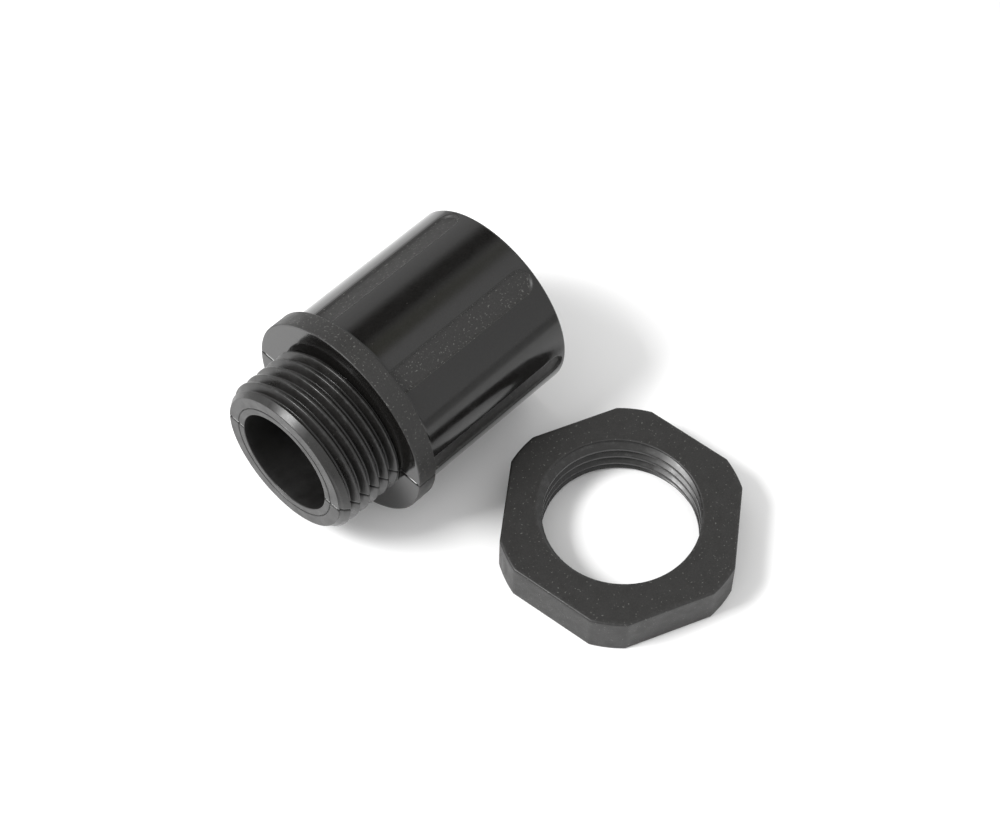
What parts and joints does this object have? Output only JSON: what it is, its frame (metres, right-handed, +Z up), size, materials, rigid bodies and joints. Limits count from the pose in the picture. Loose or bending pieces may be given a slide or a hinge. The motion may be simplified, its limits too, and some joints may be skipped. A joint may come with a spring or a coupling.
{
  "type": "cable gland",
  "caption": "Black plastic threaded conduit gland: flanged socket moulding on its side, with its loose hexagonal locknut lying flat beside it.",
  "frame": {"origin": "middle of the pair's footprint, on the surface that the body and the locknut both rest on", "axes": "+Z up, out of the locknut's face; +X along the body as it lies, from its thread towards its socket; -Y from the body towards the locknut"},
  "size_m": [0.0398, 0.0564, 0.026],
  "materials": {
    "moulded_body": "black moulded plastic, polished socket and flange face, fine matte flange rim and socket strips",
    "moulded_nut": "black moulded plastic with a fine spark-eroded matte texture"
  },
  "bodies": {
    "body": {"gland_body": "moulded_body"},
    "nut": {"locknut": "moulded_nut"}
  },
  "joints": [
    {"name": "locknut_turn", "type": "hinge", "parent": "body", "child": "nut", "pos_m": [0.00589, -0.01368, 0], "axis": [0, 0, 1], "continuous": true}
  ]
}
